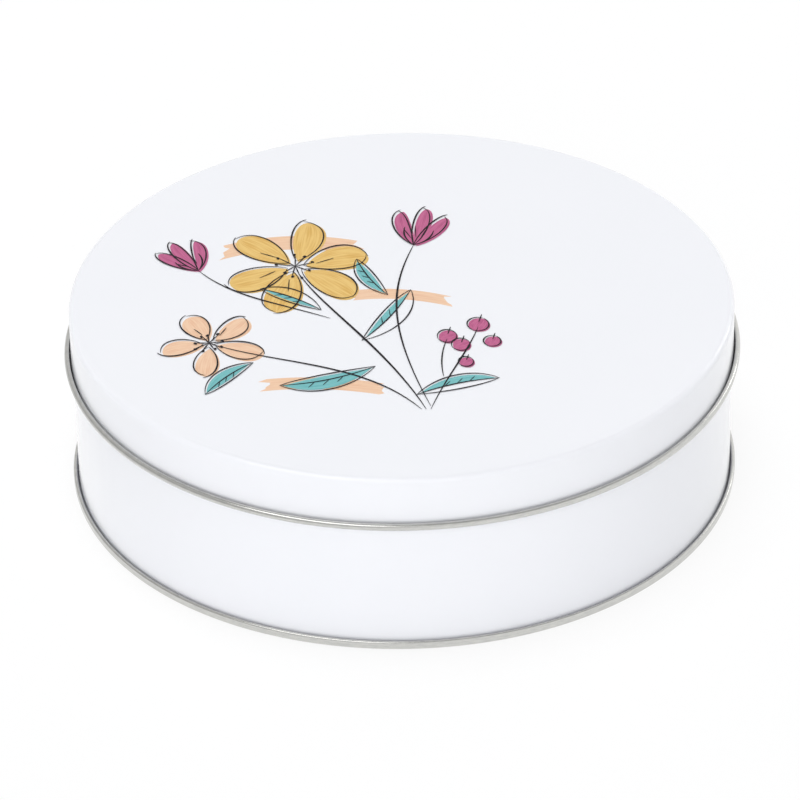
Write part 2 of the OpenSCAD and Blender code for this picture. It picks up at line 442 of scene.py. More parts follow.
def on_lid(point, colour):
    order = INK_ORDER.index(colour) + (1 + len(strokes[colour])) / MOST_STROKES
    x = PRINT_PLACE.x + point.x * MM
    y = PRINT_PLACE.y + point.y * PRINT_DEPTH * MM
    return Vector((x, y, lid_top + order * INK_STEP))


def film(colour, steps, across, spot):
    bpy.ops.mesh.primitive_grid_add(x_subdivisions=steps, y_subdivisions=across, size=1)
    stroke = bpy.context.object
    for vertex in stroke.data.vertices:
        vertex.co = on_lid(spot(vertex.co.x + 0.5, vertex.co.y + 0.5), colour)
    strokes[colour].append(stroke)


print("print centred at", [round(x / MM, 1) for x in PRINT_PLACE])

# %% [markdown]
# ## Washes and pen lines
# A wash lies between two curves, and its ends are ragged, band by band, as a broad pen leaves them. A
# pen line follows one curve. It is very narrow, swells where the hand presses, and is pointed at both
# ends. All chance comes from one seeded source, so the print is the same each time.

# %% Washes and pen lines
WASH_BANDS = 7
WASH_STEPS = 18
PEN_STEPS = 22
PEN_POINT = 0.2
AHEAD = 0.01
hand = random.Random(11)


def wash(colour, left, right, ragged=0.05):
    start, end = ([hand.uniform(0, ragged) for _ in range(WASH_BANDS)] for _ in range(2))

    def spot(share, side):
        band = min(int(side * WASH_BANDS), WASH_BANDS - 1)
        share = start[band] + share * (1 - start[band] - end[band])
        return on_curve(left, share).lerp(on_curve(right, share), side)

    film(colour, WASH_STEPS, WASH_BANDS - 1, spot)


def pen_line(points, width=0.42, colour="black"):
    swell = hand.uniform(0.35, 0.65)

    def spot(share, side):
        ahead = on_curve(points, min(share + AHEAD, 1)) - on_curve(points, max(share - AHEAD, 0))
        out = Vector((-ahead.y, ahead.x)).normalized()
        press = min(1, (share / swell) ** 0.5, ((1 - share) / (1 - swell)) ** 0.5)
        return on_curve(points, share) + out * width * (PEN_POINT + (1 - PEN_POINT) * press) * (side - 0.5)

    film(colour, PEN_STEPS, 1, spot)


print("a wash has", WASH_BANDS, "bands, a pen line", PEN_STEPS, "steps")

# %% [markdown]
# ## Petals and blossoms
# A petal is two curves that bulge away from its middle. The wash fills most of the space between them
# and is pushed a little to one side. A blossom is a ring of petals with a few stamens, and a bud is
# three petals that stand close. Every motif takes its place, direction and size in millimetres, so
# the spray can be laid out like a bunch on a table.

# %% Petals and blossoms
PETAL_SLIP = Vector((0.5, -0.4))
PETAL_LEAN = 0.12
STAMENS = 9


def heading(angle, length=1.0):
    return Vector((math.cos(math.radians(angle)), math.sin(math.radians(angle)))) * length


def bulge(foot, tip, width, lean):
    axis = tip - foot
    out = Vector((-axis.y, axis.x)).normalized() * width
    return [foot, foot + axis * 0.3 + out * 0.8 + lean, foot + axis * 0.95 + out * 0.95 + lean, tip]


def shifted(points, by):
    return [point + by for point in points]


def petal(colour, foot, angle, length, width):
    tip = foot + heading(angle, length)
    lean = heading(angle + 90, hand.uniform(-PETAL_LEAN, PETAL_LEAN) * length)
    left, right = bulge(foot, tip, width, lean), bulge(foot, tip, -width, lean)
    wash(colour, shifted(left, PETAL_SLIP), shifted(right, PETAL_SLIP))
    loose = heading(angle, hand.uniform(0.2, 1.0))
    pen_line([*left[:3], tip + loose])
    pen_line([*right[:3], tip + heading(angle + 90, hand.uniform(0.2, 0.9))], 0.34)
    if hand.random() < 0.7:
        pen_line([foot + heading(angle, 0.2 * length), foot + heading(angle + 8, 0.5 * length)], 0.26)


def blossom(colour, centre, radius, petals, turned):
    for i in range(petals):
        angle = turned + 360 * i / petals + hand.uniform(-7, 7)
        length = radius * hand.uniform(0.86, 1.06)
        width = radius * hand.uniform(0.36, 0.44)
        petal(colour, centre + heading(angle, 0.12 * radius), angle, length, width)
    for i in range(STAMENS):
        angle = turned + 360 / STAMENS * i + hand.uniform(-10, 10)
        tip = centre + heading(angle, radius * hand.uniform(0.2, 0.32))
        pen_line([centre, tip], 0.3)
        pen_line([tip + heading(angle + 120, 0.5), tip + heading(angle, 0.5)], 0.7)


def bud(colour, foot, angle, length):
    for lean, share in ((-24, 0.9), (24, 0.94), (0, 1.0)):
        petal(colour, foot, angle + lean, length * share, 0.2 * length)
    for lean in (-60, 55):
        bend = foot + heading(angle + lean, 0.3 * length)
        pen_line([foot, bend, foot + heading(angle + lean / 2, 0.5 * length)])


print("a petal leans by up to", round(100 * PETAL_LEAN), "percent of its length")

# %% [markdown]
# ## Leaves and berries
# A leaf is a long petal with a rib and three veins. Often only one half of it is washed, as a quick
# hand would do. A berry is a round of two half curves with a short stalk.

# %% Leaves and berries
BERRY_SLIP = Vector((0.3, -0.3))
BERRY_ROUND = ((180, 1), (120, 1.6), (60, 1.6), (0, 1))
SECOND_HALF = 0.55


def leaf(foot, angle, length, width, curl=0.0, colour="teal"):
    tip = foot + heading(angle, length)
    lean = heading(angle + 90, curl * length)
    rib = [foot, foot + (tip - foot) * 0.5 + lean, tip]
    for side in (-1, 1):
        edge = bulge(foot, tip, side * width, lean)
        edge[2] = foot + (tip - foot) * 0.75 + (edge[2] - foot - (tip - foot) * 0.95)
        if side > 0 or hand.random() < SECOND_HALF:
            wash(colour, shifted(edge, heading(angle + 90, -0.5 * side)), rib, 0.12)
        pen_line(edge, 0.36)
    pen_line(rib, 0.34)
    for share in (0.35, 0.5, 0.65):
        start = on_curve(rib, share)
        pen_line([start, start + heading(angle + 38, 0.6 * width)], 0.22)


def berry(centre, radius):
    angle = hand.uniform(20, 70)
    left, right = (
        [centre + heading(angle + side * turned, radius * reach) for turned, reach in BERRY_ROUND]
        for side in (1, -1)
    )
    wash("magenta", shifted(left, BERRY_SLIP), shifted(right, BERRY_SLIP))
    pen_line(left, 0.34)
    pen_line(right, 0.34)
    pen_line([centre + heading(75, 0.3 * radius), centre + heading(75, 1.5 * radius)], 0.3)


print("motifs", [motif.__name__ for motif in (petal, blossom, bud, leaf, berry)])

# %% [markdown]
# ## Laying out the spray
# The stems start together at the lower right and fan out to the left and up. One large ochre blossom
# leads, a peach one answers it lower down, two magenta buds mark the ends, and berries and leaves
# fill the gaps. A few broad peach strokes lie behind it all, as if the pen had been tried out first.

# %% Laying out the spray


def at(x, y):
    return Vector((x, y))


for start, mid, end, width in (
    (at(-26, 20), at(-10, 27), at(8, 21), 5.0),
    (at(-16, -27), at(-2, -25), at(12, -29), 4.0),
    (at(4, 4), at(16, 6), at(28, 1), 3.6),
):
    half = Vector((0, width / 2))
    wash("peach", shifted([start, mid, end], half), shifted([start, mid, end], -half), 0.1)
bunch = at(21, -36)
for route, width in (
    ([bunch, at(12, -14), at(-2, 0), at(-7, 12)], 0.55),
    ([bunch + at(-1, 0), at(8, -20), at(-10, -20), at(-25, -13)], 0.48),
    ([bunch + at(1, 1), at(12, -6), at(14, 8), at(19, 22)], 0.48),
    ([at(0, -4), at(-12, 2), at(-22, 4), at(-30, 14)], 0.42),
    ([bunch + at(1, 0), at(26, -24), at(30, -18), at(33, -8)], 0.42),
    ([at(25, -25), at(24, -18), at(26, -12)], 0.36),
):
    pen_line(route, width)
leaf(at(7, -12), 58, 21, 4.2, -0.1)
leaf(at(10, -21), 196, 22, 4.0, 0.12)
leaf(at(-2, -1), 150, 16, 3.4, -0.1)
leaf(at(19, -31), 16, 19, 3.6, 0.1)
leaf(at(13, 4), 118, 15, 3.0, 0.1)
leaf(at(-17, -19), 226, 15, 3.2, -0.12)
blossom("ochre", at(-8, 15), 15.5, 6, 15)
blossom("peach", at(-27, -12), 11, 5, 50)
bud("magenta", at(19, 22), 78, 14)
bud("magenta", at(-30, 14), 122, 12.5)
for x, y, radius in ((33, -7, 2.4), (29, -14, 2.1), (26, -11, 2.2), (36, -13, 1.9), (30, -20, 1.7)):
    berry(at(x, y), radius)
print({colour: len(films) for colour, films in strokes.items()})

# %% [markdown]
# ## One piece of print for each ink
# A press lays down one colour after the other, so all films of one ink are joined into one piece.
# They are flat sheets and get a hair of thickness, downwards from the face that shows.

# %% One piece of print for each ink
INK_FILM = 0.004 * MM
for colour, films in strokes.items():
    choose(*films)
    bpy.ops.object.join()
    print_layer = named("print_" + colour)
    dress(print_layer, inks[colour])
    face_towards(print_layer, print_layer.data.polygons[0].center, (0, 0, 1))
    thicken(print_layer, INK_FILM, -1)
    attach(print_layer, "lid")
    report(print_layer)

# %% [markdown]
# ## The wall
# The wall is one strip, bent round until its ends meet. Both ends are folded into hooks that catch
# each other, and the seam is pressed flat: four plates thick inside, a single fine line outside. It
# is at the back. Above and below the seam the strip is turned into the rolled rim and into the hook
# that the base holds, so the wall is drawn as a lower ring, a strip with its folded ends, and an
# upper ring. The two rings come first, and are spun like the lid.

# %% The wall's two rings
SLIP_GAP = 0.2 * MM
SEAM_GAP = 0.15 * MM
SEAM_H = 2 * MM
RIM_ROLL_R = 0.8 * MM
RIM_ROLL_SLOT = 0.3 * MM
SIDE_SEAM_NOTCH = 1.5 * MM
wall_low, wall_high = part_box("body_wall")
wall_r = skirt_r - PLATE - SLIP_GAP
HOOK_R = 1.5 * PLATE + SEAM_GAP
hook_z = PLATE + SEAM_GAP + HOOK_R
cover_z = SEAM_H - HOOK_R
rim_z = wall_high.z - RIM_ROLL_R
side_low = SEAM_H + SIDE_SEAM_NOTCH
side_top = rim_z - RIM_ROLL_R - SIDE_SEAM_NOTCH
rim_end = 360 - math.degrees(math.acos((RIM_ROLL_R - PLATE - RIM_ROLL_SLOT) / RIM_ROLL_R))
hook_x = wall_r - PLATE + HOOK_R
lower = [(hook_x + HOOK_R - HALF, cover_z)]
lower += arc(hook_x, hook_z, HOOK_R - HALF, 0, -180, 14)
lower += [(wall_r - HALF, height) for height in (SEAM_H - HALF, SEAM_H, SEAM_H + HALF, side_low)]
upper = [(wall_r - HALF, side_top)]
upper += arc(wall_r - RIM_ROLL_R, rim_z, RIM_ROLL_R - HALF, 0, rim_end, 30)
lower_ring = turn(draw_line("wall_lower_ring", section(lower)))
upper_ring = turn(draw_line("wall_upper_ring", section(upper)))
print("rings from", round(wall_low.z / MM, 2), "to", round(wall_high.z / MM, 2), "mm")

# %% [markdown]
# ## The strip with its hooked ends
# Seen from above, the strip is one long line: it starts inside the seam, folds back on itself, goes
# once round the tin and ends in the other hook. The seam's layers are counted inwards from the wall,
# and widths along the wall are angles. The line is drawn at the strip's lower edge and extruded
# straight up.

# %% The strip with its hooked ends
SIDE_SEAM_W = 4 * MM
SIDE_SEAM_GAP = 0.1 * MM
side_pitch = PLATE + SIDE_SEAM_GAP
seam_half = SIDE_SEAM_W / 2 / wall_r
fold = PLATE / wall_r
slit = 2 * SIDE_SEAM_GAP / wall_r
step = 2 * math.pi / TURN_STEPS


def in_seam(layer, angle):
    radius = wall_r - layer * side_pitch - HALF
    return Vector((-radius * math.sin(angle), radius * math.cos(angle), side_low))


near_fold = seam_half + slit + fold / 2
far_fold = seam_half - fold / 2
hook_fold = fold / 2 - seam_half
plan = [in_seam(1, seam_half - fold - slit), in_seam(1, hook_fold)]
plan += [in_seam(3, hook_fold), in_seam(3, near_fold), in_seam(0, near_fold)]
plan += [in_seam(0, i * step) for i in range(2, TURN_STEPS + 2)]
plan += [in_seam(0, far_fold), in_seam(2, far_fold), in_seam(2, slit + fold - seam_half)]
strip = draw_line("tin_wall", plan)
edit(strip)
bpy.ops.mesh.extrude_region_move(TRANSFORM_OT_translate={"value": (0, 0, side_top - side_low)})
leave_edit()
print("strip of", len(plan), "points")

# %% [markdown]
# ## The wall as one sheet
# The rings and the strip share their edge points, so they weld into one sheet once they are joined.
# Lacquer faces out and bare metal faces in. Thickness comes last, and runs through strip, rim and
# hook.

# %% The wall as one sheet
choose(strip, lower_ring, upper_ring)
bpy.ops.object.join()
wall = weld(strip)
dress(wall, lacquer, tinplate)
face_towards(wall, (0, -wall_r, (side_low + side_top) / 2), (0, -1, 0))
smooth(thicken(wall))
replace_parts(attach(wall, "tin"), "body_wall")
report(wall)

# %% [markdown]
# ## The base
# The base is pressed too. Its panel stands up inside the tin, with a ring bead that keeps it from
# drumming, and its edge is rolled round the wall's hook in a double seam: five plates thick and tight
# enough for fine powder. The outer band of that seam is the bare ring on which the tin stands.

# %% The base
FOOT_IN_R = 0.5 * MM
FOOT_OUT_R = 0.6 * MM
BASE_RECESS = 2.6 * MM
BASE_BEND_R = 1 * MM
BEAD_INSET = 12.15 * MM
BEAD_W = 4.4 * MM
BEAD_H = 0.9 * MM
BASE_SLOT_SHADE = 0.6
seam_r = wall_r + 3 * (PLATE + SEAM_GAP)
chuck_r = wall_r - PLATE - SEAM_GAP
panel_z = BASE_RECESS + HALF
bead_r = ((BEAD_W / 2) ** 2 + BEAD_H**2) / (2 * BEAD_H)
bead_z = BASE_RECESS + PLATE + BEAD_H - bead_r
bead_start = math.degrees(math.asin((panel_z - bead_z) / (bead_r - HALF)))
bead_x = chuck_r - BEAD_INSET
base_line = [(bead_x * share, panel_z) for share in (0, 0.35, 0.7, 0.9)]
base_line += arc(bead_x, bead_z, bead_r - HALF, 180 - bead_start, bead_start, 12)
base_line += [(0.5 * (bead_x + chuck_r), panel_z)]
base_line += arc(chuck_r - BASE_BEND_R, BASE_RECESS + PLATE - BASE_BEND_R, BASE_BEND_R - HALF, 90, 0, 10)
base_line += arc(chuck_r - PLATE + FOOT_IN_R, FOOT_IN_R, FOOT_IN_R - HALF, 180, 270, 8)
base_line += arc(seam_r - FOOT_OUT_R, FOOT_OUT_R, FOOT_OUT_R - HALF, 270, 360, 10)
base_line += arc(seam_r - HOOK_R, cover_z, HOOK_R - HALF, 0, 180, 20)
base_line += [(seam_r - 2 * HOOK_R + HALF, hook_z)]
base = weld(turn(draw_line("tin_base", section(base_line))))
dress(base, tinplate)
face_towards(base, (0, 0, panel_z), (0, 0, -1))
smooth(thicken(base))
# Painted shade in the crevice where the seam meets the wall.
paint_slot_shade(base, BASE_SLOT_SHADE, wall_r, wall_r + SEAM_GAP + HALF, seam_r - HOOK_R, cover_z, SEAM_H + PLATE)
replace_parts(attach(base, "tin"), "base_plate")
report(base)

# %% [markdown]
# ## Sealing compound
# A ring of rubber compound fills the head of the double seam, over the tip of the wall's hook. On the
# real tin it is poured into the base as a liquid and squeezed when the seam is rolled. Nobody sees
# it, so the CAD solid stays as it is and only gets its finish: dull, dark, a little uneven.

# %% Sealing compound
rubber = finish("seal_compound", Roughness=0.7)
tint(rubber, noise(rubber, 900), (0.06, 0.063, 0.07), (0.1, 0.103, 0.11))
relief(rubber, noise(rubber, 2500), 0.3, 0.02 * MM)
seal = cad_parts["seam_seal"]
dress(seal, rubber)
print("finish", rubber.name, "on", seal.name)

# %% [markdown]
# ## Moulded plastic
# The sifter is moulded from an ivory plastic. Light goes a little way into it, which a small
# subsurface weight gives. The tool leaves a fine satin grain, and the melt leaves faint cloudy flow
# marks, so tone and gloss both drift.

# %% Moulded plastic
plastic = finish(
    "sifter_plastic",
    Subsurface_Weight=0.12,
    Subsurface_Radius=(0.004, 0.003, 0.002),
    Subsurface_Scale=0.5,
    Specular_IOR_Level=0.45,
)
tint(plastic, noise(plastic, 45), (0.75, 0.724, 0.645), (0.8, 0.778, 0.71))
gloss(plastic, noise(plastic, 160), 0.32, 0.46)
relief(plastic, noise(plastic, 5200, detail=2.0), 0.12, 0.012 * MM)
print("finish", plastic.name)

# %% [markdown]
# ## The sifter ring
# The ring hangs in the tin by its flange, which lies on the wall's rolled rim. Its wall leans in a
# little so that it leaves its mould, a ledge at the foot carries the sifter plate, and a small bead
# above holds the plate down. It is a turned shape again, but of thick plastic, so this time the whole
# section is a closed loop, and its sizes come first.

# %% Sizes of the sifter ring
FLANGE_T = 0.8 * MM
RING_WALL = 1.2 * MM
RING_PLAY = 0.35 * MM
RING_DRAFT = 0.7 * MM
LEDGE_W = 3 * MM
LEDGE_T = 1.2 * MM
SNAP_R = 0.5 * MM
SNAP_PLAY = 0.05 * MM
RIM_PLAY = 0.2 * MM
ring_low, ring_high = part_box("sifter_ring")
plate_low, plate_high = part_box("sifter_plate")
flange_low = ring_high.z - FLANGE_T
cup_r = wall_r - 2 * RIM_ROLL_R - RING_PLAY


def cup_inside(height):
    lean = RING_DRAFT * (flange_low - height) / (flange_low - ring_low.z)
    return cup_r - RING_WALL - lean


edge_r = LID_EDGE_R - PLATE - RIM_PLAY
edge_low = math.degrees(math.asin((flange_low - lid_top + LID_EDGE_R) / edge_r))
ledge_in = cup_inside(ring_low.z) - LEDGE_W
ledge_top = ring_low.z + LEDGE_T
snap_z = plate_high.z + SNAP_PLAY + SNAP_R
print("ledge at", round(ledge_top / MM, 2), "mm, snap bead at", round(snap_z / MM, 2), "mm")

# %% [markdown]
# ## The ring turned and softened
# The loop runs out along the foot, up the leaning wall, round the flange, which follows the inside of
# the lid's edge, and down again past the bead. A Bevel modifier takes the sharpness off the corners,
# as the tool's own radii would.

# %% The sifter ring
SOFTEN_FROM = math.radians(40)
RING_SOFT = 0.22 * MM


def soften(obj, width, segments=3):
    bevel = obj.modifiers.new("softened edges", "BEVEL")
    bevel.width = width
    bevel.segments = segments
    bevel.limit_method = "ANGLE"
    bevel.angle_limit = SOFTEN_FROM
    return apply_all(obj)


ring_line = [(ledge_in, ring_low.z), (cup_r - RING_DRAFT, ring_low.z), (cup_r, flange_low)]
ring_line += arc(skirt_r - LID_EDGE_R, lid_top - LID_EDGE_R, edge_r, edge_low, 90, 8)
ring_line += [(cup_r - RING_WALL, ring_high.z), (cup_r - RING_WALL, flange_low)]
ring_line += arc(cup_inside(snap_z), snap_z, SNAP_R, 90, 270, 10)
ring_line += [(cup_inside(ledge_top), ledge_top), (ledge_in, ledge_top), (ledge_in, ring_low.z)]
sifter_ring = weld(turn(draw_line("sifter_cup", section(ring_line))))
soften(sifter_ring, RING_SOFT)
dress(sifter_ring, plastic)
smooth(sifter_ring)
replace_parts(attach(sifter_ring, "sifter"), "sifter_ring")
report(sifter_ring)

# %% [markdown]
# ## The sifter plate
# The plate is a plain disc with rings of small holes. Shaking the tin brings powder up through them.
# The holes could be a picture in the material, but then no light would fall through, so they are cut:
# one cylinder is added for each hole in edit mode, and a Boolean modifier takes them all out of the
# disc at once.

# %% The sifter plate
HOLE_D = 2.4 * MM
HOLE_PITCH = 10.5 * MM
HOLE_BORDER = 3 * MM
PLATE_SIDES = 160
HOLE_SIDES = 24
PUNCH_REACH = 3
PLATE_SOFT = 0.2 * MM
FLAT = 0.999


def cylinder(sides, radius, depth, place):
    bpy.ops.mesh.primitive_cylinder_add(vertices=sides, radius=radius, depth=depth, location=place)


plate_mid = (plate_low + plate_high) / 2
plate_t = plate_high.z - plate_low.z
hole_rings = math.floor((ledge_in - HOLE_BORDER - HOLE_D / 2) / HOLE_PITCH)
holes = [(0.0, 0.0)]
for ring in range(1, hole_rings + 1):
    for i in range(6 * ring):
        angle = math.radians(60 * i / ring)
        holes.append((ring * HOLE_PITCH * math.cos(angle), ring * HOLE_PITCH * math.sin(angle)))
print("holes", len(holes), "in", hole_rings, "rings")

# %% [markdown]
# ## Punching the plate
# The punch is longer than the plate is thick, so that no cut ends on a face. After the cut a small
# bevel softens the rims, and only what isn't flat is shaded smooth.

# %% Punching the plate
cylinder(PLATE_SIDES, plate_high.x, plate_t, plate_mid)
sifter_plate = named("sifter_disc")
bpy.ops.object.transform_apply()
cylinder(HOLE_SIDES, HOLE_D / 2, PUNCH_REACH * plate_t, plate_mid)
punch = named("punch")
bpy.ops.object.mode_set(mode="EDIT")
for x, y in holes[1:]:
    cylinder(HOLE_SIDES, HOLE_D / 2, PUNCH_REACH * plate_t, plate_mid + Vector((x, y, 0)))
leave_edit()
cut = sifter_plate.modifiers.new("holes", "BOOLEAN")
cut.object = punch
cut.solver = "EXACT"
apply_all(sifter_plate)
bpy.data.objects.remove(punch)
soften(sifter_plate, PLATE_SOFT, 2)
dress(sifter_plate, plastic)
for face in sifter_plate.data.polygons:
    face.use_smooth = abs(face.normal.z) < FLAT
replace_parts(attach(sifter_plate, "sifter"), "sifter_plate")
report(sifter_plate)

# %% [markdown]
# ## The puff's three cloths
# The face of the puff is cotton velour: a dense short pile with no gloss of its own, pale where the
# pile is seen sideways, which sheen gives. The back is satin, smooth and shiny along its threads, so
# its noise is stretched into long streaks and its highlight is pulled out with the anisotropic value.
# The handle is a ribbed ribbon.

# %% Velour, satin and ribbon
velour = finish(
    "puff_velour", Roughness=0.95, Sheen_Weight=0.5, Sheen_Roughness=0.45, Specular_IOR_Level=0.2
)
tint(velour, noise(velour, 700, detail=5.0), (0.74, 0.68, 0.6), (0.9, 0.86, 0.79))
pile = relief(velour, noise(velour, 2600, detail=4.0), 0.8, 0.25 * MM)
relief(velour, noise(velour, 320), 0.4, 0.5 * MM, below=pile)
satin = finish("puff_satin", Anisotropic=0.5, Sheen_Weight=0.1, Sheen_Roughness=0.3)
tint(satin, noise(satin, 260, (1, 9, 1), detail=4.0), (0.76, 0.45, 0.44), (0.84, 0.55, 0.535))
gloss(satin, noise(satin, 120, (1, 5, 1)), 0.26, 0.42)
relief(satin, noise(satin, 900, (0.3, 6, 1), detail=2.0), 0.08, 0.03 * MM)
ribbon = finish("ribbon_satin", Sheen_Weight=0.15, Sheen_Roughness=0.35)
tint(ribbon, noise(ribbon, 500, (1, 4, 1)), (0.31, 0.014, 0.088), (0.42, 0.03, 0.14))
gloss(ribbon, noise(ribbon, 300), 0.38, 0.55)
relief(ribbon, noise(ribbon, 1500, (1, 5, 1), detail=2.0), 0.25, 0.04 * MM)
print("finishes", velour.name, satin.name, ribbon.name)

# %% [markdown]
# ## The velour pad
# A puff is a bag of velour with soft filling. Cloth with a little pressure inside swells the way such
# a bag does, so the pad starts as a flatter copy of its CAD solid, is remeshed into even squares, and
# is then filled. The helper hold_in_place keeps every point in the room that the pad has: flat on the
# sifter, rounded at the side, and under the crown on which the satin lies.

# %% The velour pad
PUFF_CROWN = 2.4 * MM
PAD_VOXEL = 4 * MM
PAD_SPARE = 0.05 * MM
PAD_START = (1.01, 1.01, 0.9)
pad_low, pad_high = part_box("puff_pad")
pad_edge_r = (pad_high.z - PUFF_CROWN - pad_low.z) / 2
back_r = pad_high.x - pad_edge_r
crown_r = (back_r**2 + PUFF_CROWN**2) / (2 * PUFF_CROWN)


def crown(radius, rise=0.0):
    return pad_high.z - crown_r + math.sqrt((crown_r + rise) ** 2 - radius**2)


def hold_in_place(point):
    out = Vector((point.x, point.y, 0))
    radius = out.length
    if radius <= back_r:
        point.z = min(max(point.z, pad_low.z + PAD_SPARE), crown(radius, -PAD_SPARE))
        return
    centre = out * (back_r / radius) + Vector((0, 0, pad_low.z + pad_edge_r))
    reach = point - centre
    if reach.length > pad_edge_r - PAD_SPARE:
        point.xyz = centre + reach * ((pad_edge_r - PAD_SPARE) / reach.length)


pad = bpy.data.objects.new("velour_pad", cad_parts["puff_pad"].data.copy())
bpy.context.scene.collection.objects.link(pad)
weld(pad)
pad_mid = (pad_low + pad_high) / 2
edit(pad)
bpy.ops.transform.resize(value=PAD_START, center_override=pad_mid)
leave_edit()
pad.data.remesh_voxel_size = PAD_VOXEL
bpy.ops.object.voxel_remesh()
print("pad of", len(pad.data.polygons), "squares")

# %% [markdown]
# ## Filling the pad
# The points are held to their room, the mesh is rounded, and they are held once more. Last, a cloud
# texture presses the pile in here and there, as on a puff that was used.

# %% Filling the pad
PAD_FRAMES = 20
PAD_PRESSURE = 4
PILE_PRESSED = 0.55 * MM
PILE_LUMP = 2.4 * MM
filling = pad.modifiers.new("filling", "CLOTH")
filling.settings.use_pressure = True
filling.settings.uniform_pressure_force = PAD_PRESSURE
filling.settings.effector_weights.gravity = 0
for moment in range(1, PAD_FRAMES + 1):
    bpy.context.scene.frame_set(moment)
apply_all(pad)
bpy.context.scene.frame_set(1)
for vertex in pad.data.vertices:
    hold_in_place(vertex.co)
rounder = pad.modifiers.new("rounder", "SUBSURF")
rounder.levels = rounder.render_levels = 2
apply_all(pad)
for vertex in pad.data.vertices:
    hold_in_place(vertex.co)
lumps = bpy.data.textures.new("pressed_pile", "CLOUDS")
lumps.noise_scale = PILE_LUMP
lumps.noise_depth = 3
pressed = pad.modifiers.new("pressed pile", "DISPLACE")
pressed.texture = lumps
pressed.texture_coords = "LOCAL"
pressed.strength = PILE_PRESSED
pressed.mid_level = 1.0
apply_all(pad)
dress(pad, velour)
bpy.ops.object.shade_smooth()
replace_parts(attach(pad, "puff"), "puff_pad")
report(pad)

# %% [markdown]
# ## The satin back
# A round of satin is gathered a little, hemmed and sewn over the puff's crown. The gathers run in
# from the hem and die out towards the middle. The sheet is turned from a line, like the metal, with
# the hem folded under at its edge. Each vertex is then lifted or lowered by a wave that goes round
# the rim and whose beat is itself uneven.

# %% The satin back
SATIN_T = 0.25 * MM
SATIN_RISE = 0.75 * MM
HEM_R = 0.25 * MM
HEM_W = 3 * MM
GATHERS = 64
GATHER_H = 0.13 * MM
GATHER_FROM = 0.45
GATHER_RUN = 0.5
FINE_FROM = 0.46
FINE_STEPS = 18
CLOTH_ANGLE = math.radians(60)


def gather(radius, angle):
    towards_hem = min(max((radius / back_r - GATHER_FROM) / GATHER_RUN, 0), 1)
    beat = GATHERS * angle + 2.2 * math.sin(5 * angle + 0.4) + 1.3 * math.sin(11 * angle + 2)
    return GATHER_H * towards_hem**2 * (3 - 2 * towards_hem) * math.cos(beat)


hem_x = back_r - HEM_R - SATIN_T / 2
back_line = [(hem_x * share, SATIN_RISE) for share in (0, 0.12, 0.24, 0.36, FINE_FROM)]
for i in range(1, FINE_STEPS):
    back_line.append((hem_x * (FINE_FROM + (1 - FINE_FROM) * i / FINE_STEPS), SATIN_RISE))
back_line += arc(hem_x, SATIN_RISE - HEM_R, HEM_R, 90, -90, 6)
back_line += [(hem_x - HEM_W, SATIN_RISE - 2 * HEM_R)]
satin_back = weld(turn(draw_line("satin_back", section(back_line)), 6 * GATHERS))
for vertex in satin_back.data.vertices:
    radius = vertex.co.xy.length
    angle = math.atan2(vertex.co.y, vertex.co.x)
    vertex.co.z = crown(radius, vertex.co.z) + gather(radius, angle)
dress(satin_back, satin)
face_towards(satin_back, (0, 0, crown(0)), (0, 0, 1))
smooth(thicken(satin_back, SATIN_T), CLOTH_ANGLE)
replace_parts(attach(satin_back, "puff"), "puff_back")
report(satin_back)

# %% [markdown]
# ## The ribbon handle
# Fingers slip under a ribbon that crosses the puff's back and is sewn down at both ends. Its ribs run
# across it. The ribbon starts as a grid of squares, as long and as wide as the real one and fine
# enough for the ribs. The grid is laid along a line that folds under at both ends, and every rib is a
# small wave in its height.

# %% The ribbon handle
RIBBON_T = 0.26 * MM
RIB_PITCH = 1.0 * MM
RIB_H = 0.035 * MM
RIBBON_FOLD_R = 0.24 * MM
RIBBON_HEM = 7 * MM
STEPS_PER_RIB = 4
RIBBON_ACROSS = 12
RIBBON_SPARE = 0.4 * MM
ribbon_low, ribbon_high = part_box("puff_ribbon")
ribbon_w = ribbon_high.y - ribbon_low.y
ribbon_rise = ribbon_high.z - pad_high.z - RIBBON_T / 2 - RIB_H
ribbon_reach = math.sqrt((back_r - HEM_R) ** 2 - (ribbon_w / 2) ** 2)
fold_x = min(ribbon_reach, ribbon_high.x) - RIBBON_FOLD_R - RIBBON_T / 2
half_turn = math.pi * RIBBON_FOLD_R
ribbon_length = 2 * fold_x + 2 * half_turn + 2 * RIBBON_HEM


def ribbon_path(distance):
    side = math.copysign(1, distance)
    ahead = abs(distance)
    rib = RIB_H * math.cos(2 * math.pi * distance / RIB_PITCH)
    if ahead <= fold_x:
        return side * ahead, ribbon_rise + rib
    if ahead <= fold_x + half_turn:
        angle = (ahead - fold_x) / RIBBON_FOLD_R
        x = fold_x + RIBBON_FOLD_R * math.sin(angle)
        return side * x, ribbon_rise - RIBBON_FOLD_R * (1 - math.cos(angle))
    return side * (2 * fold_x + half_turn - ahead), ribbon_rise - 2 * RIBBON_FOLD_R


along = STEPS_PER_RIB * round(ribbon_length / RIB_PITCH)
bpy.ops.mesh.primitive_grid_add(x_subdivisions=along, y_subdivisions=RIBBON_ACROSS, size=1)
handle = named("ribbon_handle")
for vertex in handle.data.vertices:
    x, rise = ribbon_path(vertex.co.x * ribbon_length)
    y = vertex.co.y * (ribbon_w - RIBBON_SPARE)
    vertex.co = Vector((x, y, crown(math.hypot(x, y), rise)))
dress(handle, ribbon)
face_towards(handle, (0, 0, ribbon_high.z), (0, 0, 1))
smooth(thicken(handle, RIBBON_T), CLOTH_ANGLE)
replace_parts(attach(handle, "puff"), "puff_ribbon")
report(handle)

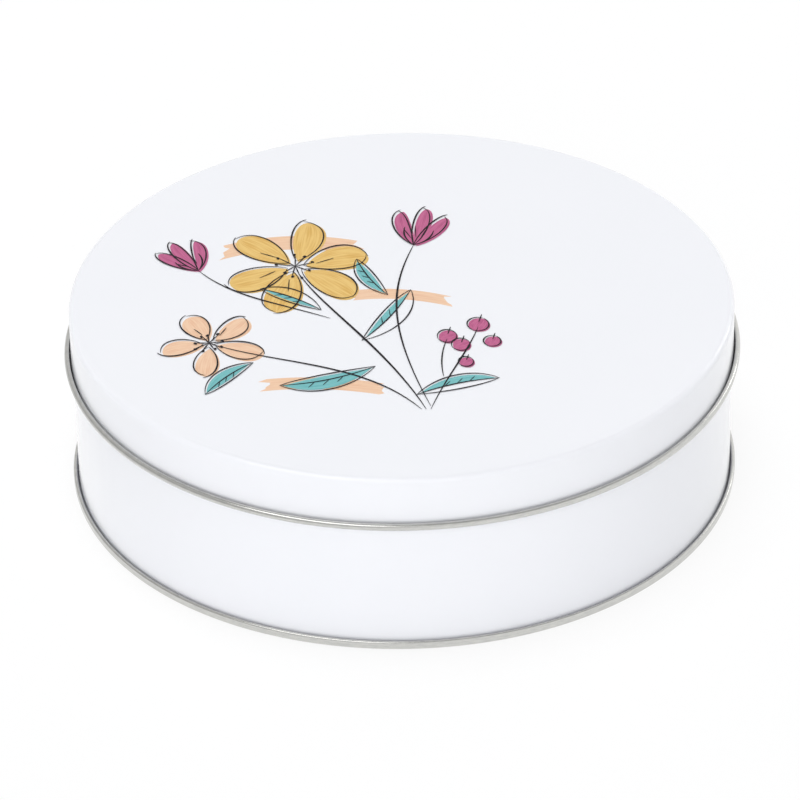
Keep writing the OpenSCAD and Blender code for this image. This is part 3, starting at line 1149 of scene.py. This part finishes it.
# %% [markdown]
# ## The stitches
# A row of running stitches holds the satin's hem, and two short rows hold each end of the ribbon. One
# stitch is a small sphere, squeezed into a grain of thread. A helper sets one at each place of a row,
# turned along the row and half sunk in the cloth, and a second helper joins a set into one piece.

# %% Helpers for stitches
STITCH_L = 1.5 * MM
STITCH_W = 0.34 * MM


def stitch(place, angle):
    bpy.ops.mesh.primitive_uv_sphere_add(segments=8, ring_count=6, radius=0.5, location=place)
    grain = bpy.context.object
    grain.rotation_euler.z = angle
    grain.scale = (STITCH_L, STITCH_W, STITCH_W)
    return grain


def sew(name, grains, material):
    choose(*grains)
    bpy.ops.object.transform_apply(location=False)
    bpy.ops.object.join()
    bpy.ops.object.transform_apply()
    row = named(name)
    dress(row, material)
    bpy.ops.object.shade_smooth()
    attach(row, "puff")
    report(row)


print("a stitch is", STITCH_L / MM, "by", STITCH_W / MM, "mm")

# %% [markdown]
# ## Sewing the hem and the ribbon
# The hem's row goes all the way round, in the thread of the satin, and rises and falls with the
# gathers. Each end of the ribbon has two rows across it, in the ribbon's own thread.

# %% Sewing the hem and the ribbon
STITCH_STEP = 2.6 * MM
HEM_ROW = 1.9 * MM
END_ROWS = (2.2 * MM, 5.2 * MM)
hem_row_r = back_r - HEM_ROW
hem_count = round(2 * math.pi * hem_row_r / STITCH_STEP)
hem_grains = []
for i in range(hem_count):
    angle = 2 * math.pi * i / hem_count
    height = crown(hem_row_r, SATIN_RISE + SATIN_T / 2) + gather(hem_row_r, angle)
    place = (hem_row_r * math.cos(angle), hem_row_r * math.sin(angle), height)
    hem_grains.append(stitch(place, angle + math.pi / 2))
sew("hem_stitches", hem_grains, satin)
end_count = math.floor(ribbon_w / STITCH_STEP)
end_grains = []
for side in (-1, 1):
    for inset in END_ROWS:
        x = side * (fold_x - inset)
        for i in range(end_count):
            y = (i - (end_count - 1) / 2) * STITCH_STEP
            height = crown(math.hypot(x, y), ribbon_rise + RIBBON_T / 2 + RIB_H)
            end_grains.append(stitch((x, y, height), math.pi / 2))
sew("ribbon_stitches", end_grains, ribbon)

# %% [markdown]
# ## Camera
# The photograph was taken with a long lens from a little over a metre, about 33 degrees above the
# table. A long lens keeps the two rims nearly parallel, so the lens and the distance matter as much
# as the angle.

# %% Camera
CAMERA_RISE = math.radians(32.555)
CAMERA_ROLL = math.radians(-1.026)
CAMERA_FAR = 1300 * MM
LENS = 256.65
SENSOR = 36
camera_aim = Vector((-0.726, 0, 16.426)) * MM
back = Vector((0, -math.cos(CAMERA_RISE), math.sin(CAMERA_RISE)))
level_right = Vector((1, 0, 0))
level_up = back.cross(level_right)
right = math.cos(CAMERA_ROLL) * level_right + math.sin(CAMERA_ROLL) * level_up
up = math.cos(CAMERA_ROLL) * level_up - math.sin(CAMERA_ROLL) * level_right
bpy.ops.object.camera_add()
camera = bpy.context.object
camera.data.lens = LENS
camera.data.sensor_width = SENSOR
turned_to = Matrix((right, up, back)).transposed().to_4x4()
camera.matrix_world = Matrix.Translation(camera_aim + back * CAMERA_FAR) @ turned_to
bpy.context.scene.camera = camera
print("camera at", [round(x, 3) for x in camera.location])

# %% [markdown]
# ## The room
# A white tin on white is lit by an even, bright room. The world is that room: plain white where the
# camera sees it, and about half as bright and a little cool where it lights the tin. Mirrors need
# something to show, so for them the room gets darker to the left and overhead, and the rolled edges
# turn from light grey to steel grey. The Light Path node tells the kinds of ray apart.

# %% The room
ROOM = (0.505, 0.513, 0.52)
LEFT_WALL = 0.55
CEILING = 0.54


def straight_rays(owner):
    path = add(owner, "LightPath")
    glossy_ray = path.outputs["Is Glossy Ray"]
    return combine(owner, "MAXIMUM", path.outputs["Is Camera Ray"], glossy_ray), glossy_ray


world = bpy.data.worlds.new("white_room")
bpy.context.scene.world = world
world.use_nodes = True
straight, glossy = straight_rays(world)
direction = add(world, "SeparateXYZ")
join(world, add(world, "TexCoord").outputs["Generated"], direction.inputs["Vector"])
left_side = spread(world, direction.outputs["X"], LEFT_WALL - 1.0, 0.0, start=-0.9, end=0.5)
overhead = spread(world, direction.outputs["Z"], 0.0, CEILING - 1.0, start=0.6, end=0.8)
dimmed = combine(world, "MINIMUM", left_side, overhead)
room = world.node_tree.nodes["Background"]
join(world, two_tone(world, straight, ROOM, (1, 1, 1), 0.0, 1.0), room.inputs["Color"])
join(world, combine(world, "MULTIPLY_ADD", glossy, dimmed, 1.0), room.inputs["Strength"])
print("room", world.name, "at", ROOM, "for the tin")

# %% [markdown]
# ## Soft boxes and cards
# Four soft boxes light the tin: one above and a little behind it, a broad one in front, and two low
# ones behind. They aren't mirrored, because their glare would bleach the white lid from some sides.
# Two cards do the opposite: they light nothing, and only draw bright lines on the metal and along the
# lid's edge.

# %% Soft boxes and cards
TIN_MIDDLE = (0, 0, 0.03)


def soft_box(name, place, aim, size, watts, mirrored=False):
    bpy.ops.object.light_add(type="AREA", location=place)
    lamp = bpy.context.object
    lamp.name = name
    lamp.data.shape = "RECTANGLE"
    lamp.data.size, lamp.data.size_y = size
    lamp.data.energy = watts
    lamp.rotation_euler = (Vector(aim) - Vector(place)).to_track_quat("-Z", "Y").to_euler()
    lamp.visible_glossy = mirrored
    lamp.visible_diffuse = not mirrored


soft_box("top_box", (-0.3, 0.25, 2.2), TIN_MIDDLE, (0.8, 0.8), 14.0)
soft_box("front_box", (-0.25, -1.6, 0.8), (0, 0, 0.02), (1.7, 1.4), 13.1)
soft_box("right_box", (1.22, 1.46, 0.6), TIN_MIDDLE, (1.0, 1.0), 9.0)
soft_box("left_box", (-1.22, 1.46, 0.6), TIN_MIDDLE, (1.0, 1.0), 8.5)
soft_box("top_card", (-0.42, -0.6, 0.98), TIN_MIDDLE, (0.8, 0.5), 2.2, mirrored=True)
soft_box("side_card", (1.0, 0.94, 0.55), (0.06, 0, 0.04), (0.08, 0.8), 0.6, mirrored=True)

# %% [markdown]
# ## Table
# The tin stands on a plain white table that runs on without an edge. Where the camera looks at it,
# part of its white is its own, so that it meets the white room without a line, and the rest is the
# light that falls on it, so that the tin still has its soft shadow. In mirrors its glow is painted
# darker to the left: a painted shade, like the room's.

# %% Table
TABLE_SIZE = 30
OWN_WHITE = 0.86
LEFT_TABLE = 0.72
bpy.ops.mesh.primitive_plane_add(size=TABLE_SIZE)
table = bpy.context.object
table.name = "table"
white = finish("white_table", Base_Color=(0.98, 0.98, 0.98, 1), Roughness=0.7)
glow = add(white, "Emission")
blend = add(white, "MixShader")
straight, glossy = straight_rays(white)
spot = add(white, "SeparateXYZ")
join(white, add(white, "TexCoord").outputs["Object"], spot.inputs["Vector"])
# Painted shade: the glow that mirrors see is dimmed towards the left.
left_table = spread(white, spot.outputs["X"], LEFT_TABLE - 1.0, 0.0, start=-0.2, end=-0.08)
join(white, combine(white, "MULTIPLY_ADD", glossy, left_table, 1.0), glow.inputs["Strength"])
join(white, combine(white, "MULTIPLY", straight, OWN_WHITE), blend.inputs["Fac"])
join(white, shader_of(white).outputs["BSDF"], blend.inputs[1])
join(white, glow.outputs["Emission"], blend.inputs[2])
join(white, blend.outputs["Shader"], white.node_tree.nodes["Material Output"].inputs["Surface"])
dress(table, white)
bpy.context.scene.view_settings.view_transform = "Standard"
print("table", table.name)
